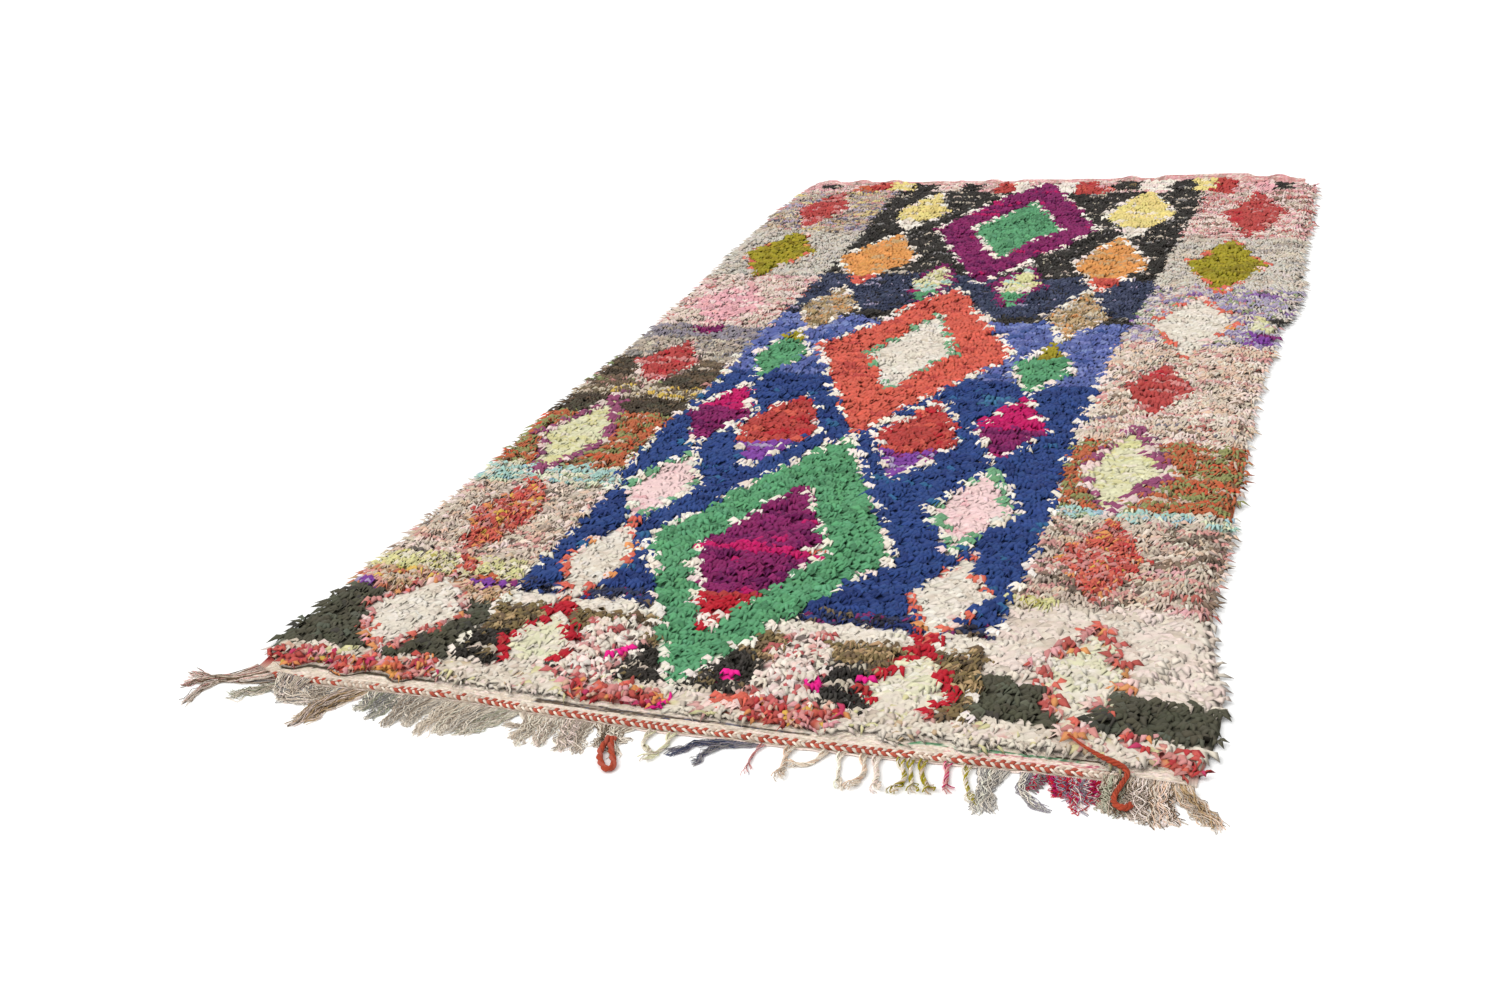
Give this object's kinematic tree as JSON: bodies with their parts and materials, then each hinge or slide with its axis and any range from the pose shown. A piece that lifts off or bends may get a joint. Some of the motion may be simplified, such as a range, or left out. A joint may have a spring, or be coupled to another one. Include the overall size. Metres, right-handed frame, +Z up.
{
  "type": "boucherouite rug",
  "caption": "Flat hand-knotted rag-pile rug with rows of woven lozenges, a flat-woven band at each end, a twined cord and a fringe along one end.",
  "frame": {"origin": "middle of the flat underside, on the floor", "axes": "+Z up, +Y along the rug to the end without a fringe, +X across the rug to the right as seen from the fringed end"},
  "size_m": [1.5159, 2.8134, 0.0241],
  "materials": {
    "rag_pile": "matt cut rag and wool pile in many colours",
    "twined_wool": "matt twined wool, orange-red and off-white",
    "warp_fringe": "matt spun warp threads, undyed beige and grey",
    "red_rag_yarn": "matt orange-red rag yarn"
  },
  "bodies": {
    "root": {"rug": "rag_pile", "end_cord": "twined_wool", "fringe": "warp_fringe", "loose_yarn": "red_rag_yarn"}
  },
  "joints": []
}
